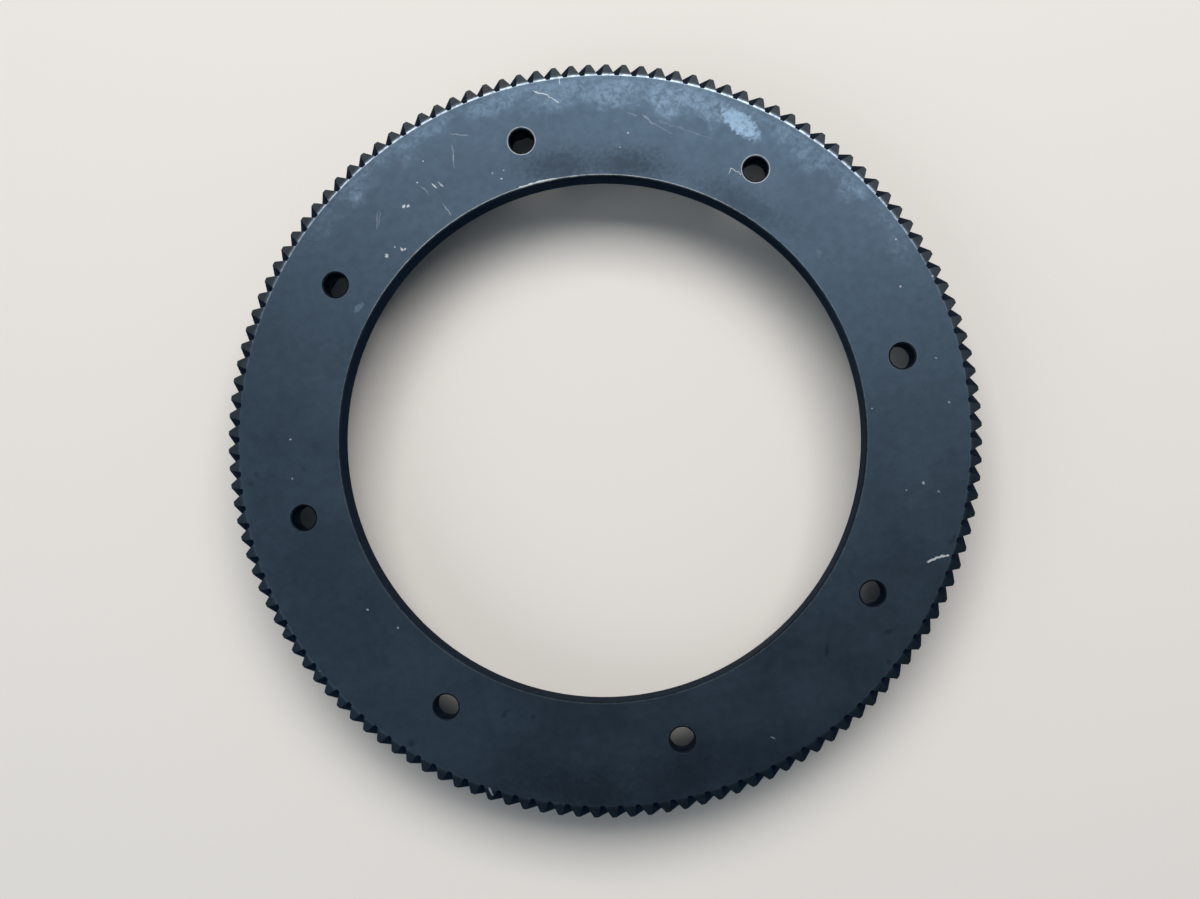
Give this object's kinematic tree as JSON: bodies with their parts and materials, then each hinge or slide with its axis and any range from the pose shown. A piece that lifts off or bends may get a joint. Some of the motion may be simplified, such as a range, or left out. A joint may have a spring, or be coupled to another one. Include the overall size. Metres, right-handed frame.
{
  "type": "helical ring gear",
  "caption": "Wide helical ring gear with tapered tooth ends, a large bore and a recessed bolting web with a circle of plain holes.",
  "frame": {"origin": "On the bore's axis, in the plane of the rim's lower face, on which the gear rests.", "axes": "+Z along the bore's axis, out of the face that carries the bolting web. +X through the centre of the first bolt hole."},
  "size_m": [0.2158, 0.2158, 0.03],
  "materials": {
    "blackened_steel": "satin black oxide, worn bright at the edges"
  },
  "bodies": {
    "root": {"ring_gear": "blackened_steel"}
  },
  "joints": []
}
